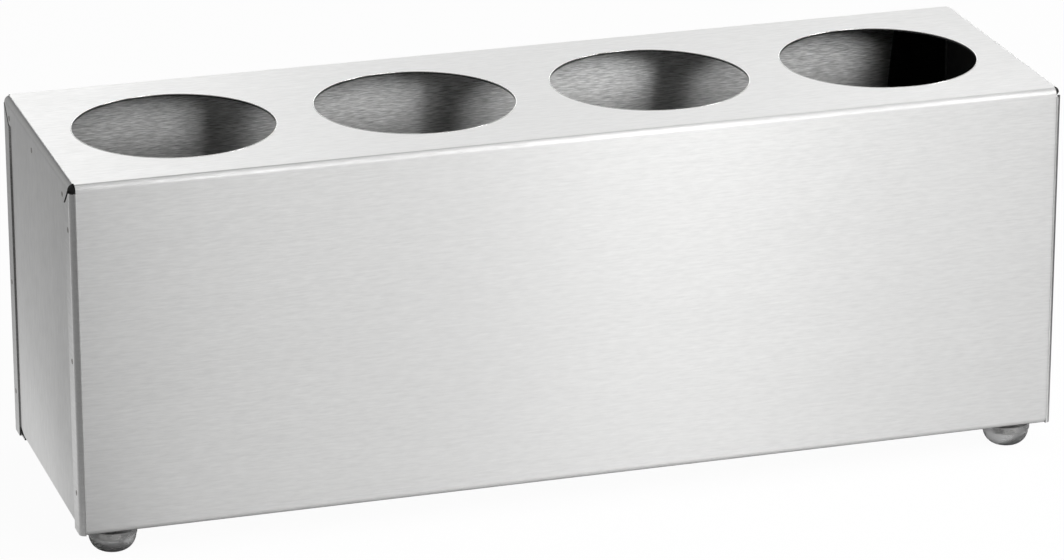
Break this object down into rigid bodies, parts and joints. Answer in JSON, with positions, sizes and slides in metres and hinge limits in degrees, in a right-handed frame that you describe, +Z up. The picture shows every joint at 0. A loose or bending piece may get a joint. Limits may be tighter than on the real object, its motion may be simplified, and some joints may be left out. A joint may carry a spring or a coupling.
{
  "type": "cutlery holder",
  "caption": "Long free-standing box of folded brushed steel with a row of round holes in its top for cutlery cylinders, on small domed feet.",
  "frame": {"origin": "on the floor, under the middle of the holder", "axes": "+X along the row of holes to the right, +Y to the rear, +Z up"},
  "size_m": [0.5, 0.15, 0.19],
  "materials": {
    "cover_steel": "brushed along the length",
    "panel_steel": "brushed upright",
    "foot_moulding": "glossy grey moulding",
    "fastener_steel": "plain bright steel"
  },
  "bodies": {
    "root": {"cover": "cover_steel", "end_panel_left": "panel_steel", "end_panel_right": "panel_steel", "foot_front_left": "foot_moulding", "foot_front_right": "foot_moulding", "foot_rear_left": "foot_moulding", "foot_rear_right": "foot_moulding", "foot_studs": "fastener_steel", "foot_washers": "fastener_steel", "foot_nuts": "fastener_steel"}
  },
  "joints": []
}
